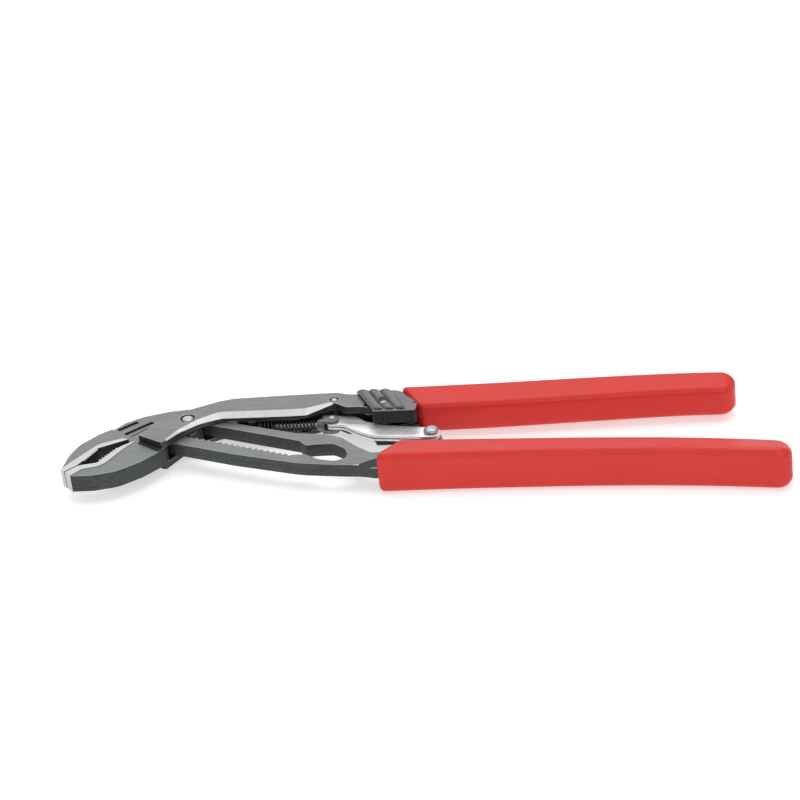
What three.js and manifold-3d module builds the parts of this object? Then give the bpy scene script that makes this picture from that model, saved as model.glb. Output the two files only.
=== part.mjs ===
// Self-adjusting tongue and groove pliers, 250 mm class, lying flat with the jaws shut.
// Millimetres. The outlines are drawn in the joint frame: the main pin is at the origin, +X runs
// to the handles, +Y to the handle with the thumb slide, and z = 0 is the mid-plane of the tool.
// At the end everything is lifted and centred, so that the part's own origin is the middle of its
// bounding box's underside.
import * as THREE from "three";
import { mergeVertices } from "three/addons/utils/BufferGeometryUtils.js";
import Module from "manifold-3d";

const wasm = await Module();
wasm.setup();

// Driving dimensions: half thicknesses first, all measured from the mid-plane.
const CHEEK_OUT = 5.6;
const CHEEK_IN = 2.8;
const JAW_HALF = 3.3;
const LEVER_HALF = 2.4;
const GRIP_PALM_HALF = 7.7;
const GRIP_INNER_HALF = 6.0;
const SLIDE_BASE = 6.0;
const SLIDE_TOP = 7.7;
const GAP = 0.3;

// The slot of the inner lever runs down and away from the main pin at this angle.
const SLOT_ANGLE = THREE.MathUtils.degToRad(-20.9);
const SLOT_SMOOTH = 2.7; // from the pin's axis up to the smooth edge
const SLOT_TEETH = -6.1; // from the pin's axis down to the tooth tips
const TOOTH_DEPTH = 1.1;
const LEVER_FAR = 6.5;
const LEVER_NEAR = -12.2;

const MAIN_PIN_R = 2.1;
const CROSS_PIN = [50.9, 9.8];
const CROSS_PIN_R = 1.25;
const LINK_A = [51, 1.6]; // hinge of the link on the spring seat
const LINK_B = [87, -8]; // rivet of the link on the inner lever
const LINK_PIN_R = 1.2;
const RIVET_R = 2.65;
const LOCK_PIN = [69.2, 4.7];
const SLIDE_TRAVEL = 5;
const SPRING_LEFT = 24.3;
const SPRING_RIGHT = 45.2;
const SPRING_R = 1.85;
const SPRING_WIRE = 0.4;
const SPRING_TURNS = 11;

// ---- solids ----------------------------------------------------------------------------------

function solid(geometry) {
  const g = geometry.clone();
  g.deleteAttribute("normal");
  g.deleteAttribute("uv");
  const merged = mergeVertices(g, 1e-4);
  const kept = [];
  const index = merged.index.array;
  for (let i = 0; i < index.length; i += 3) {
    const [a, b, c] = index.slice(i, i + 3);
    if (a !== b && b !== c && c !== a) kept.push(a, b, c);
  }
  return new wasm.Manifold(
    new wasm.Mesh({
      numProp: 3,
      vertProperties: merged.attributes.position.array,
      triVerts: new Uint32Array(kept),
    }),
  );
}

function geometryOf(manifold) {
  const mesh = manifold.getMesh();
  const g = new THREE.BufferGeometry();
  g.setAttribute("position", new THREE.BufferAttribute(mesh.vertProperties, 3));
  g.setIndex(new THREE.BufferAttribute(mesh.triVerts, 1));
  const flat = g.toNonIndexed();
  flat.computeVertexNormals();
  return flat;
}

function counterClockwise(points) {
  return THREE.ShapeUtils.area(points) < 0 ? points.reverse() : points;
}

// A closed outline with each corner rounded by its own radius: points are [x, y] or [x, y, radius].
function rounded(points, steps = 4) {
  const out = [];
  points.forEach(([x, y, radius = 0], i) => {
    const corner = new THREE.Vector2(x, y);
    if (!radius) {
      out.push(corner);
      return;
    }
    const before = new THREE.Vector2(...points[(i + points.length - 1) % points.length]);
    const after = new THREE.Vector2(...points[(i + 1) % points.length]);
    const a = before.sub(corner);
    const b = after.sub(corner);
    const half = Math.acos(a.dot(b) / (a.length() * b.length())) / 2;
    const reach = Math.min(radius / Math.tan(half), 0.48 * a.length(), 0.48 * b.length());
    const fitted = reach * Math.tan(half);
    const start = corner.clone().addScaledVector(a.normalize(), reach);
    const end = corner.clone().addScaledVector(b.normalize(), reach);
    const centre = corner.clone().addScaledVector(a.add(b).normalize(), fitted / Math.sin(half));
    const from = start.sub(centre);
    const sweep = from.angleTo(end.sub(centre)) * Math.sign(from.cross(end));
    for (let k = 0; k <= steps; k += 1) {
      const spoke = from.clone().rotateAround(new THREE.Vector2(), (sweep * k) / steps);
      out.push(spoke.add(centre));
    }
  });
  return counterClockwise(out);
}

// A plate of an outline between two heights. The outline is a list for rounded().
function plate(points, low, high, steps = 4) {
  const shape = new THREE.Shape(rounded(points, steps));
  const g = new THREE.ExtrudeGeometry(shape, { depth: high - low, bevelEnabled: false });
  g.translate(0, 0, low);
  return solid(g);
}

// A plate whose top and bottom edges are cut back or rounded by a bevel.
function bevelled(points, half, bevel, segments, steps = 4) {
  const shape = new THREE.Shape(rounded(points, steps));
  const g = new THREE.ExtrudeGeometry(shape, {
    depth: 2 * (half - bevel),
    bevelEnabled: true,
    bevelThickness: bevel,
    bevelSize: bevel,
    bevelOffset: -bevel,
    bevelSegments: segments,
  });
  g.translate(0, 0, bevel - half);
  return solid(g);
}

function disc([x, y], radius, low, high, sides = 32) {
  const g = new THREE.CylinderGeometry(radius, radius, high - low, sides);
  g.rotateX(Math.PI / 2);
  g.translate(x, y, (low + high) / 2);
  return solid(g);
}

// A round piece on an upright axis; the profile is [radius, z] from the bottom to the top.
function turned([x, y], profile, sides = 32) {
  const g = new THREE.LatheGeometry(
    profile.map(([r, z]) => new THREE.Vector2(r, z)),
    sides,
  );
  g.rotateX(Math.PI / 2);
  g.translate(x, y, 0);
  return solid(g);
}

// A round piece on an axis along +X; the profile is [radius, x] from left to right.
function turnedAlongX(y, profile, sides = 24) {
  const g = new THREE.LatheGeometry(
    profile.map(([r, x]) => new THREE.Vector2(r, x)),
    sides,
  );
  g.rotateZ(-Math.PI / 2);
  g.translate(0, y, 0);
  return solid(g);
}

// A point given along and across the slot: t runs away from the pin, n runs to the smooth edge.
function inSlot(t, n, radius = 0) {
  const c = Math.cos(SLOT_ANGLE);
  const s = Math.sin(SLOT_ANGLE);
  return [c * t - s * n, s * t + c * n, radius];
}

// Saw teeth from one point to another, cut to one side by the depth.
function teeth(from, to, count, depth) {
  const a = new THREE.Vector2(...from);
  const step = new THREE.Vector2(...to).sub(a).divideScalar(count);
  const side = new THREE.Vector2(-step.y, step.x).normalize().multiplyScalar(depth);
  const out = [];
  for (let i = 0; i < count; i += 1) {
    const tip = a.clone().addScaledVector(step, i);
    const root = a.clone().addScaledVector(step, i + 0.5).add(side);
    out.push([tip.x, tip.y], [root.x, root.y]);
  }
  out.push([to[0], to[1]]);
  return out;
}

const group = new THREE.Group();
const tool = new THREE.Group();
group.add(tool);

const STEEL_DARK = { color: 0x6b706d, roughness: 0.45, metalness: 0.7 };
const STEEL_BRIGHT = { color: 0xc9ccce, roughness: 0.3, metalness: 0.9 };
const STEEL_BLACK = { color: 0x2a2c2b, roughness: 0.5, metalness: 0.6 };
const NYLON = { color: 0x1c1d1d, roughness: 0.5, metalness: 0 };
const GRIP_RED = { color: 0xc9302c, roughness: 0.45, metalness: 0 };

function add(name, manifold, finish) {
  const mesh = new THREE.Mesh(geometryOf(manifold), new THREE.MeshStandardMaterial(finish));
  mesh.name = name;
  tool.add(mesh);
}

// ---- outer lever: lower jaw, box, channel and upper arm, one forging ---------------------------

const MOUTH_LEFT = [-34.2, -26.1];
const JAW_TIP = [-38, -30.3];

const cheekOutline = [
  [-15.7, -10.6],
  [-12.3, -5],
  [-8.4, 0.4, 6],
  [-2.1, 6.1, 8],
  [9.6, 11.4, 8],
  [14.5, 12.9, 10],
  [31, 13.8],
  [51, 14.6, 6],
  [56, 13, 6],
  [62, 12.8],
  [80, 13.4],
  [80, 6.5],
  [72, 3.6, 4],
  [55.8, 4, 2],
  [51.2, 7.4, 2],
  [42, 1.7, 3],
  [36, 1.4],
  [11.3, 1.3, 6],
  [4.8, -2.6, 8],
  [-1.3, -9, 8],
  [-4.6, -14.6, 1],
  [-6.3, -16.4, 1.4],
];

const lowerJaw = [
  [-37.7, -30.6],
  [-35.2, -33.2],
  [-28, -33.2, 8],
  [-19.6, -31, 12],
  [-12.2, -25.1, 8],
  [-7.4, -19.4],
  [-5.4, -15.6],
  [-10.4, -9.2],
  [-14.6, -10.6],
  [-17.7, -11],
  [-21.4, -14.1],
  ...teeth([-22, -15.2], [-26.9, -24], 6, -0.55),
  [-27.6, -24.8],
  [-33.9, -26.4],
];

// The post joins the lower jaw to both cheeks, outside the sweep of the inner lever.
const post = [
  [-15.6, -10.6],
  [-14.6, -10.3],
  [-10.4, -9.2],
  [-4.9, -14.5],
  [-6.4, -16.2, 1.2],
];

const channelWeb = [
  [15, 12.8],
  [14.6, 9.8, 2],
  [52, 10.6],
  [80, 10.2],
  [80, 13.2],
  [56, 12.8, 6],
  [51, 14.4, 6],
  [31, 13.6],
];

const upperArm = [
  [76, 7.2],
  [76, 12.8],
  [88, 13],
  [130, 14.2],
  [172, 15.8],
  [183, 15.6, 3],
  [183, 10.2, 3],
  [172, 10],
  [130, 8.2],
  [88, 6],
  [80, 6],
];

const springStop = [
  [21.5, 11],
  [21.5, -0.6],
  [24, -0.6],
  [24, 11],
];

const lockSlot = [
  [LOCK_PIN[0] - SLIDE_TRAVEL - 2, LOCK_PIN[1] - 1.7, 1.6],
  [LOCK_PIN[0] + 2, LOCK_PIN[1] - 1.7, 1.6],
  [LOCK_PIN[0] + 2, LOCK_PIN[1] + 1.7, 1.6],
  [LOCK_PIN[0] - SLIDE_TRAVEL - 2, LOCK_PIN[1] + 1.7, 1.6],
];

const outerLever = bevelled(cheekOutline, CHEEK_OUT, 0.93, 1)
  .subtract(plate([[-40, -40], [-40, 40], [90, 40], [90, -40]], -CHEEK_IN, CHEEK_IN))
  .add(plate(post, -CHEEK_IN - 1, CHEEK_IN + 1))
  .add(plate(channelWeb, -CHEEK_IN - 1, CHEEK_IN + 1))
  .add(plate(springStop, -CHEEK_IN - 1, CHEEK_IN + 1))
  .add(plate(lowerJaw, -JAW_HALF, JAW_HALF))
  .add(bevelled(upperArm, 4.2, 0.6, 1))
  .subtract(disc([0, 0], MAIN_PIN_R + 0.15, -8, 8))
  .subtract(disc(CROSS_PIN, CROSS_PIN_R + 0.15, -8, 8, 24))
  .subtract(plate(lockSlot, -8, 8));
add("outer_lever", outerLever, STEEL_DARK);

// ---- inner lever: upper jaw, shank through the box, slotted bar and lower arm -------------------

const upperJaw = [
  [...JAW_TIP],
  MOUTH_LEFT,
  [-33.4, -24.3],
  ...teeth([-33, -23.4], [-29.6, -15.8], 6, -0.55),
  [-29.2, -15],
  [-19.6, -9.5],
  [-27, -1.6, 1],
  [-31, -4.9, 6],
  [-36.6, -12.1, 8],
  [-38.9, -19.5, 8],
  [-39.5, -29.1],
];

const leverOutline = [
  [-29, -12],
  [-20, -9.7],
  [-14.4, -9.8, 2],
  [-9.2, -8.2, 2],
  inSlot(0.1, LEVER_NEAR, 4),
  inSlot(26, LEVER_NEAR, 30),
  [44.2, -28.2, 40],
  [58.3, -29.9, 20],
  [66, -30.4, 4],
  [74, -32.2, 4],
  [92, -29.8, 30],
  [146, -31.4, 30],
  [180, -33.4, 30],
  [203, -36, 3],
  [204, -30.5, 3],
  [180, -26.6, 30],
  [146, -24.4, 30],
  [92, -22.2, 20],
  [76, -22, 6],
  [68, -22.4, 4],
  [61.8, -17.4, 4],
  [56.4, -11.6, 5],
  [50, -9, 8],
  inSlot(40, LEVER_FAR + 0.6, 12),
  inSlot(14, LEVER_FAR, 10),
  [2.5, 8.6, 3],
  [-1.5, 11.8, 4],
  [-8.9, 10.7, 8],
  [-18, 7.4, 6],
  [-23.6, 3.6, 5],
  [-28, -2.6],
];

const slotOutline = [
  inSlot(-7.5, SLOT_SMOOTH, 2),
  inSlot(43.5, SLOT_SMOOTH, 2),
  inSlot(47.2, 0.6, 1.5),
  inSlot(51, 2.6, 1.5),
  inSlot(56, 4.6, 3),
  inSlot(60.5, 2.8, 3),
  inSlot(64.3, -1.6, 2),
  inSlot(61, -5.4, 3),
  inSlot(56, -6, 3),
  inSlot(50, -4.6, 2),
  ...teeth(inSlot(46, SLOT_TEETH), inSlot(-2, SLOT_TEETH), 20, TOOTH_DEPTH),
  inSlot(-7.5, SLOT_TEETH + 1, 2),
];

// The ear carries the link's rivet; it is a thin tang under the link's plates.
const EAR_LOW = -LEVER_HALF;
const EAR_HIGH = -1.05;
const ear = [
  [82.2, -23.5],
  [83.4, -8, 3],
  [84.5, -4.6, 2.4],
  [89.5, -4.6, 2.4],
  [90.6, -8, 3],
  [94, -23.5],
];

const innerLever = plate(leverOutline, -LEVER_HALF, LEVER_HALF, 5)
  .add(plate(upperJaw, -JAW_HALF, JAW_HALF))
  .subtract(plate(slotOutline, -8, 8, 3))
  .add(plate(ear, EAR_LOW, EAR_HIGH))
  .subtract(disc(LINK_B, 1.5, -8, 8, 24));
add("inner_lever", innerLever, STEEL_DARK);

// ---- pins of the box joint and the toothed pawl ------------------------------------------------

const MAIN_PIN_TOP = CHEEK_OUT + 0.25;
add(
  "main_pin",
  turned([0, 0], [
    [0, -MAIN_PIN_TOP],
    [MAIN_PIN_R - 0.5, -MAIN_PIN_TOP + 0.1],
    [MAIN_PIN_R, -CHEEK_OUT + 0.2],
    [MAIN_PIN_R, CHEEK_OUT - 0.2],
    [MAIN_PIN_R - 0.5, MAIN_PIN_TOP - 0.1],
    [0, MAIN_PIN_TOP],
  ]),
  STEEL_BRIGHT,
);
add("cross_pin", disc(CROSS_PIN, CROSS_PIN_R, -CHEEK_OUT, CHEEK_OUT, 24), STEEL_BRIGHT);

// The pawl is a saddle under the main pin; its teeth face the slot's teeth and stand just clear.
const PAWL_HALF_LENGTH = 5;
const PAWL_TIPS = SLOT_TEETH + 0.35;
const pawlOutline = [
  inSlot(-PAWL_HALF_LENGTH, 1.4, 0.6),
  ...teeth(
    inSlot(-PAWL_HALF_LENGTH, PAWL_TIPS + 0.8),
    inSlot(PAWL_HALF_LENGTH, PAWL_TIPS + 0.8),
    4,
    -0.8,
  ),
  inSlot(PAWL_HALF_LENGTH, 1.4, 0.6),
];
const pawl = plate(pawlOutline, -2.2, 2.2)
  .subtract(disc([0, 0], MAIN_PIN_R + 0.15, -4, 4))
  .subtract(
    plate([inSlot(-1.9, 0), inSlot(1.9, 0), inSlot(1.9, 4), inSlot(-1.9, 4)], -4, 4),
  );
add("pawl", pawl, STEEL_DARK);

// ---- spring, its guide stem and the sliding seat -----------------------------------------------

const SPRING_Y = LINK_A[1];

class SpringHelix extends THREE.Curve {
  getPoint(t, target = new THREE.Vector3()) {
    const angle = 2 * Math.PI * SPRING_TURNS * t;
    const left = SPRING_LEFT + SPRING_WIRE;
    const right = SPRING_RIGHT - SPRING_WIRE;
    return target.set(
      left + (right - left) * t,
      SPRING_Y + SPRING_R * Math.cos(angle),
      SPRING_R * Math.sin(angle),
    );
  }
}
const wire = new THREE.Shape();
wire.absarc(0, 0, SPRING_WIRE, 0, 2 * Math.PI);
const springGeometry = new THREE.ExtrudeGeometry(wire, {
  steps: SPRING_TURNS * 10,
  curveSegments: 5,
  extrudePath: new SpringHelix(),
});
add("compression_spring", solid(springGeometry), STEEL_BLACK);

const STEM_R = 0.85;
add(
  "spring_stem",
  turnedAlongX(SPRING_Y, [
    [0, 30],
    [STEM_R - 0.3, 30],
    [STEM_R, 30.4],
    [STEM_R, 47],
    [0, 47],
  ]),
  STEEL_BRIGHT,
);

const PLATE_LOW = -0.75;
const PLATE_MID = [0.15, 0.45];
const PLATE_HIGH = 1.45;
const FORK_LOW = PLATE_LOW - GAP;
const FORK_HIGH = PLATE_HIGH + GAP;
const SEAT_HALF = 2.6;
const forkOutline = [
  [47.6, LINK_A[1] - 2.1],
  [LINK_A[0], LINK_A[1] - 2.3, 1.5],
  [LINK_A[0] + 2.2, LINK_A[1] - 1.6, 1.5],
  [LINK_A[0] + 2.2, LINK_A[1] + 1.6, 1.5],
  [LINK_A[0], LINK_A[1] + 2.3, 1.5],
  [47.6, LINK_A[1] + 2.1],
];
const seat = turnedAlongX(SPRING_Y, [
  [0, 45.5],
  [1.9, 45.5],
  [2.5, 47.6],
  [2.5, 48],
  [0, 48],
])
  .add(plate(forkOutline, -SEAT_HALF, SEAT_HALF))
  .subtract(
    plate(
      [
        [48.2, LINK_A[1] - 4],
        [60, LINK_A[1] - 4],
        [60, LINK_A[1] + 4],
        [48.2, LINK_A[1] + 4],
      ],
      FORK_LOW,
      FORK_HIGH,
    ),
  )
  .subtract(turnedAlongX(SPRING_Y, [[0, 45], [STEM_R + 0.15, 45], [STEM_R + 0.15, 47.3], [0, 47.3]]))
  .subtract(disc(LINK_A, LINK_PIN_R + 0.15, -8, 8, 24));
add("spring_seat", seat, STEEL_BLACK);
add("link_pin", disc(LINK_A, LINK_PIN_R, -3.1, 3.1, 24), STEEL_BRIGHT);

// ---- the link: two stamped plates, hinged on the seat and riveted to the inner lever's ear ------

const linkOutline = [
  [48.7, 1.6, 2.2],
  [49.4, -0.6, 1.5],
  [55, -1, 5],
  [60.5, -5.6, 6],
  [66.6, -9.3, 6],
  [84, -11.2],
  [88.6, -11.2, 2.6],
  [90.3, -8, 2.6],
  [88.8, -4.8, 2.6],
  [84, -4.6, 3],
  [70, -2.4, 8],
  [63, 0.6, 4],
  [58.4, 5, 4],
  [51.6, 5.2, 3],
];
const linkHoles = disc(LINK_A, LINK_PIN_R + 0.15, -8, 8, 24).add(disc(LINK_B, 1.65, -8, 8, 24));
add(
  "link_plate_upper",
  plate(linkOutline, PLATE_MID[1], PLATE_HIGH).subtract(linkHoles),
  STEEL_BRIGHT,
);
add(
  "link_plate_lower",
  plate(linkOutline, PLATE_LOW, PLATE_MID[0]).subtract(linkHoles),
  STEEL_BRIGHT,
);

const HEAD_LOW = PLATE_HIGH + 0.15;
add(
  "link_rivet",
  turned(LINK_B, [
    [0, PLATE_LOW],
    [1.5, PLATE_LOW],
    [1.5, HEAD_LOW],
    [RIVET_R, HEAD_LOW],
    [RIVET_R - 0.15, HEAD_LOW + 0.6],
    [RIVET_R - 0.9, HEAD_LOW + 1.3],
    [0.9, HEAD_LOW + 1.7],
    [0, HEAD_LOW + 1.75],
  ], 28),
  STEEL_BRIGHT,
);
add(
  "rivet_tail",
  turned(LINK_B, [
    [0, EAR_LOW - 1.1],
    [2, EAR_LOW - 1],
    [2.3, EAR_LOW - 0.5],
    [2.3, EAR_LOW - 0.15],
    [1.35, EAR_LOW - 0.15],
    [1.35, EAR_HIGH],
    [0, EAR_HIGH],
  ], 28),
  STEEL_BRIGHT,
);

// ---- thumb slide: two shells held together by the lock pin --------------------------------------

const slidePlan = [
  [58.6, 13, 1],
  [66, -1, 1],
  [80.2, -1, 1],
  [72.6, 13, 1],
];
const RIDGE_LEAN = new THREE.Vector2(66 - 58.6, -14);
const RIDGE_R = 1.9;
const RIDGE_FLATTEN = 0.75;
const RIDGE_PITCH = 3.9;
const RIDGE_FIRST = [64.6, 6];
const SHELL_SKIN = 0.9;

function thumbShell(sign) {
  const span = (low, high) => (sign > 0 ? [low, high] : [-high, -low]);
  let shell = plate(slidePlan, ...span(SLIDE_BASE, SLIDE_BASE + SHELL_SKIN));
  for (let i = 0; i < 3; i += 1) {
    const ridge = new THREE.CylinderGeometry(RIDGE_R, RIDGE_R, RIDGE_LEAN.length() - 1, 16);
    ridge.scale(1, 1, RIDGE_FLATTEN);
    ridge.rotateZ(Math.atan2(RIDGE_LEAN.y, RIDGE_LEAN.x) + Math.PI / 2);
    const height = sign * (SLIDE_TOP - RIDGE_R * RIDGE_FLATTEN - 0.025);
    ridge.translate(RIDGE_FIRST[0] + RIDGE_PITCH * i, RIDGE_FIRST[1], height);
    shell = shell.add(solid(ridge));
  }
  const below = plate([[50, -9], [90, -9], [90, 20], [50, 20]], ...span(0, SLIDE_BASE));
  const wall = [
    [64.6, 3.2],
    [66.2, -2.2, 1],
    [81.4, -2.2, 1],
    [81.4, 3.2],
  ];
  return shell
    .subtract(below)
    .add(plate(wall, ...span(FORK_HIGH + 0.15, SLIDE_BASE + SHELL_SKIN)))
    .subtract(disc(LOCK_PIN, 1.35, -9, 9, 24));
}
add("thumb_slide", thumbShell(1), NYLON);
add("slide_back", thumbShell(-1), NYLON);
add("lock_pin", disc(LOCK_PIN, 1.2, -6.8, 6.8, 24), STEEL_BRIGHT);

// ---- handle grips -------------------------------------------------------------------------------

const upperGrip = [
  [73.6, 14.9, 4.5],
  [88, 15.3],
  [109, 16, 40],
  [144, 17.6, 40],
  [172, 18.3, 40],
  [190, 17.6, 6],
  [191.2, 12.6, 6],
  [189, 7.4, 5],
  [171, 7.6, 20],
  [144, 6.1, 40],
  [109, 4, 40],
  [82.6, 3.1, 4.5],
];
const lowerGrip = [
  [70.8, -33.4, 5],
  [92, -33.2],
  [112, -33.3, 40],
  [146, -33.9, 40],
  [179, -35.9, 30],
  [208, -39.2, 6],
  [210.5, -34, 6],
  [207, -27.6, 6],
  [193, -24.5, 20],
  [160, -21.4, 40],
  [112, -19.4, 40],
  [79, -18.4, 5],
  [70.8, -26.6, 5],
];

// The top and bottom slope in from the tall palm side to the inner side, as planes along the grip.
function taperAlong(from, to, palmSide) {
  const a = new THREE.Vector2(...from);
  const b = new THREE.Vector2(...to);
  const length = a.distanceTo(b) + 60;
  const wide = 8;
  const slope = (GRIP_PALM_HALF - GRIP_INNER_HALF) / 12;
  const tall = (across) => GRIP_INNER_HALF + slope * (across + 6);
  const section = new THREE.Shape([
    new THREE.Vector2(-wide, -tall(-wide)),
    new THREE.Vector2(wide, -tall(wide)),
    new THREE.Vector2(wide, tall(wide)),
    new THREE.Vector2(-wide, tall(-wide)),
  ]);
  const g = new THREE.ExtrudeGeometry(section, { depth: length, bevelEnabled: false });
  g.translate(0, 0, -length / 2);
  g.rotateX(Math.PI / 2);
  g.rotateZ(Math.PI / 2);
  if (palmSide > 0) g.rotateZ(Math.PI);
  g.rotateZ(Math.atan2(b.y - a.y, b.x - a.x));
  g.translate((a.x + b.x) / 2, (a.y + b.y) / 2, 0);
  return solid(g);
}

// The sleeve's cavity follows the arm inside it with a small gap, open at the jaw end.
const upperCavity = [
  [70, 13.9],
  [88, 13.4],
  [130, 14.6],
  [172, 16.2],
  [184, 16.2, 3],
  [184, 9.6, 3],
  [172, 9.6],
  [130, 7.8],
  [88, 5.6],
  [70, 5.2],
];
const lowerCavity = [
  [68, -33],
  [74, -32.8],
  [92, -30.3],
  [146, -31.9],
  [180, -33.9],
  [203.6, -36.7, 3],
  [204.7, -30, 3],
  [180, -26.1],
  [146, -23.9],
  [92, -21.6],
  [68, -21],
];
const earRoom = [
  [81.6, -24.5],
  [82.8, -10],
  [91.2, -10],
  [94.6, -24.5],
];

const GRIP_ROUND = 2.0;
add(
  "upper_grip",
  bevelled(upperGrip, GRIP_PALM_HALF, GRIP_ROUND, 4, 5)
    .intersect(taperAlong([84, 9.2], [180, 13], 1))
    .subtract(plate(upperCavity, -4.6, 4.6))
    .subtract(plate([[60, 2], [60, 13.9], [80.6, 13.9], [80.6, 2]], -5.9, 5.9)),
  GRIP_RED,
);
add(
  "lower_grip",
  bevelled(lowerGrip, GRIP_PALM_HALF, GRIP_ROUND, 4, 5)
    .intersect(taperAlong([84, -26.2], [196, -31.6], -1))
    .subtract(plate(lowerCavity, -LEVER_HALF - GAP, LEVER_HALF + GAP))
    .subtract(plate(earRoom, EAR_LOW - GAP, EAR_HIGH + GAP)),
  GRIP_RED,
);

// ---- the part's own frame: the origin is the middle of the box's underside ----------------------

const box = new THREE.Box3().setFromObject(tool);
const centre = box.getCenter(new THREE.Vector3());
tool.position.set(-centre.x, -centre.y, -box.min.z);

export default group;
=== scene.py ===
import math

import bmesh
import bpy
from mathutils import Matrix, Vector
from mathutils.geometry import tessellate_polygon


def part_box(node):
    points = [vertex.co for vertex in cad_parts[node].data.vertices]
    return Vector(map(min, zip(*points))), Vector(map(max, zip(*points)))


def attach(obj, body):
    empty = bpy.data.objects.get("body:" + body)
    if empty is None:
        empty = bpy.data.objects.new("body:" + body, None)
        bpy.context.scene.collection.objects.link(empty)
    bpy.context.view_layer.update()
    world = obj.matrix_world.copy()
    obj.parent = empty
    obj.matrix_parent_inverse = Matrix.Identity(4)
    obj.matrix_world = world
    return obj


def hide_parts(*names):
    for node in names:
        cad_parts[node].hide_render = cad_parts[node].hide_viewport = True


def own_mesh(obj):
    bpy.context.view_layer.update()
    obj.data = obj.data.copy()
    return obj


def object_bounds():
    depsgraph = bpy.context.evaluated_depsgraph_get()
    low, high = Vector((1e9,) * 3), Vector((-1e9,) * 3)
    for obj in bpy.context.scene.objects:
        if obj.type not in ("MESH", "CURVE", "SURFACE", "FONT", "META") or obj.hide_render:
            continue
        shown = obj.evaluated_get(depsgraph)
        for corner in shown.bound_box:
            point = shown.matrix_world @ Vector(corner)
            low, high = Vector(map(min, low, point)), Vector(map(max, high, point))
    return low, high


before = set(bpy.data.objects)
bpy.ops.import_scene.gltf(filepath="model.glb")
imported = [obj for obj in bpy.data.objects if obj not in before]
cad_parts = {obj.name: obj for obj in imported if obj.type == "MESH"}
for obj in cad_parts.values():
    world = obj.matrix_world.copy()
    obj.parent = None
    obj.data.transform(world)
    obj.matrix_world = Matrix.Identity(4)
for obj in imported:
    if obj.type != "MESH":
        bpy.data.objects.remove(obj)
cad_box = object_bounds()

# ---- camera, floor and lights ------------------------------------------------------------------
# The tool lies flat on a pale studio table. Sizes are in millimetres in the joint frame: the main
# pin at the origin, +X to the handles, +Y to the arm with the thumb slide, z = 0 at mid thickness.

MM = 0.001
PIN_LOW, PIN_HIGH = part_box("main_pin")
JOINT = (PIN_LOW + PIN_HIGH) / 2


def at(x, y, z=0.0):
    return JOINT + Vector((x, y, z)) * MM


def camera(aim, azimuth, elevation, roll, distance, lens):
    side = Vector((math.cos(azimuth), math.sin(azimuth), 0))
    back = Vector(
        (
            math.sin(azimuth) * math.cos(elevation),
            -math.cos(azimuth) * math.cos(elevation),
            math.sin(elevation),
        )
    )
    up = back.cross(side)
    right = side * math.cos(roll) - up * math.sin(roll)
    above = side * math.sin(roll) + up * math.cos(roll)
    data = bpy.data.cameras.new("camera")
    data.lens = lens
    data.sensor_width = 36
    data.clip_start = 0.01
    data.clip_end = 20
    made = bpy.data.objects.new("camera", data)
    axes = Matrix((right, above, back)).transposed().to_4x4()
    made.matrix_world = Matrix.Translation(aim + back * distance) @ axes
    bpy.context.scene.collection.objects.link(made)
    bpy.context.scene.camera = made


camera(
    at(72.856, 17.42),
    azimuth=math.radians(10.4),
    elevation=math.radians(29),
    roll=math.radians(7.1),
    distance=0.9187,
    lens=117,
)


def soft_light(name, place, aim, size, power):
    data = bpy.data.lights.new(name, "AREA")
    data.shape = "RECTANGLE"
    data.size, data.size_y = size
    data.energy = power
    made = bpy.data.objects.new(name, data)
    made.location = place
    made.rotation_euler = (Vector(aim) - Vector(place)).to_track_quat("-Z", "Y").to_euler()
    bpy.context.scene.collection.objects.link(made)


soft_light("overhead_light", (0.0, 0.25, 1.1), (0, 0, 0), (1.5, 0.9), 9)
soft_light("back_light", (-0.2, 1.3, 0.7), (0, 0, 0), (1.6, 0.6), 4)
soft_light("front_light", (0.5, -1.4, 0.9), (0, 0, 0), (0.9, 0.5), 6)

world = bpy.data.worlds.new("studio")
bpy.context.scene.world = world
world.use_nodes = True
world.node_tree.nodes["Background"].inputs["Color"].default_value = (1, 1, 1, 1)
world.node_tree.nodes["Background"].inputs["Strength"].default_value = 0.52
bpy.context.scene.view_settings.view_transform = "Standard"


class Value:
    """One socket of a finish, so that shader maths reads as arithmetic."""

    def __init__(self, finish, socket):
        self.finish = finish
        self.socket = socket

    def maths(self, operation, first, second):
        return self.finish.node(
            "ShaderNodeMath", {"operation": operation}, {0: first, 1: second}
        )

    def __add__(self, other):
        return self.maths("ADD", self, other)

    __radd__ = __add__

    def __mul__(self, other):
        return self.maths("MULTIPLY", self, other)

    __rmul__ = __mul__


MIX_INPUTS = (0, 6, 7)  # a colour mix node's factor and its two colours
MIX_COLOUR_OUT = 2
MM_PER_M = 1000


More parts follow.
